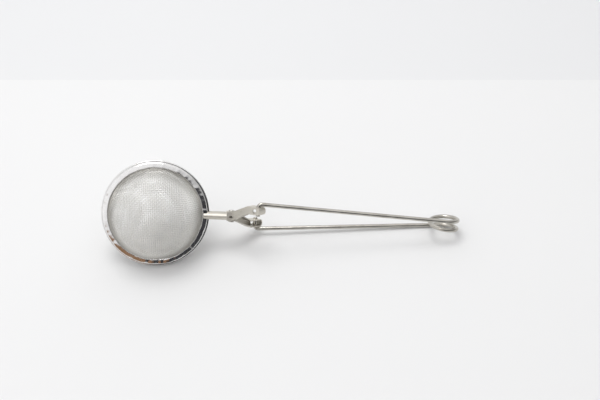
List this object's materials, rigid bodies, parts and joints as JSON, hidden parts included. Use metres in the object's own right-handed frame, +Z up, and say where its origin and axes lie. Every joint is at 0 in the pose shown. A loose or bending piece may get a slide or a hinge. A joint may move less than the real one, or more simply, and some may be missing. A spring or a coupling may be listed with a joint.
{
  "type": "tea infuser",
  "caption": "Woven-mesh ball in two rimmed halves on pivoted stamped arms, held shut by a coiled spring wire handle; squeezing the legs opens the ball.",
  "frame": {"origin": "centre of the bounding box's base: the infuser lies closed on a table at z = 0, on its rear rim and the handle's coil", "axes": "+X from the ball to the tail of the handle; +Y away from the front half; +Z up"},
  "size_m": [0.1732, 0.04, 0.0425],
  "materials": {
    "rim_steel": "polished stainless steel",
    "woven_steel": "fine plain-woven stainless wire cloth",
    "stamped_steel": "satin stamped stainless sheet",
    "rivet_steel": "plain steel",
    "spring_wire": "bright drawn wire"
  },
  "bodies": {
    "rear_half": {"rear_rim": "rim_steel", "rear_dome": "woven_steel", "rear_arm": "stamped_steel", "pivot_rivet": "rivet_steel"},
    "front_half": {"front_rim": "rim_steel", "front_dome": "woven_steel", "front_arm": "stamped_steel"},
    "rear_leg": {"rear_leg_wire": "spring_wire", "spring_coil": "spring_wire"},
    "front_leg": {"front_leg_wire": "spring_wire"}
  },
  "joints": [
    {"name": "jaw", "type": "hinge", "parent": "rear_half", "child": "front_half", "pos_m": [-0.02532, 0, 0.01757], "axis": [0.0838, 0.5736, 0.8149], "range_deg": [0, 45], "stiffness_Nm_per_rad": 0.15, "springref_deg": -20.05},
    {"name": "rear_hook", "type": "hinge", "parent": "rear_half", "child": "rear_leg", "pos_m": [-0.0142, 0.00549, 0.00643], "axis": [0.0838, 0.5736, 0.8149], "range_deg": [0, 26]},
    {"name": "coil_flex", "type": "hinge", "parent": "rear_leg", "child": "front_leg", "pos_m": [0.07873, 0, 0.00687], "axis": [0.0838, 0.5736, 0.8149], "range_deg": [-6.8, 0]}
  ],
  "couplings": [
    {"joint": "rear_hook", "follows": "jaw", "ratio": 0.57345},
    {"joint": "coil_flex", "follows": "jaw", "ratio": -0.1469}
  ]
}
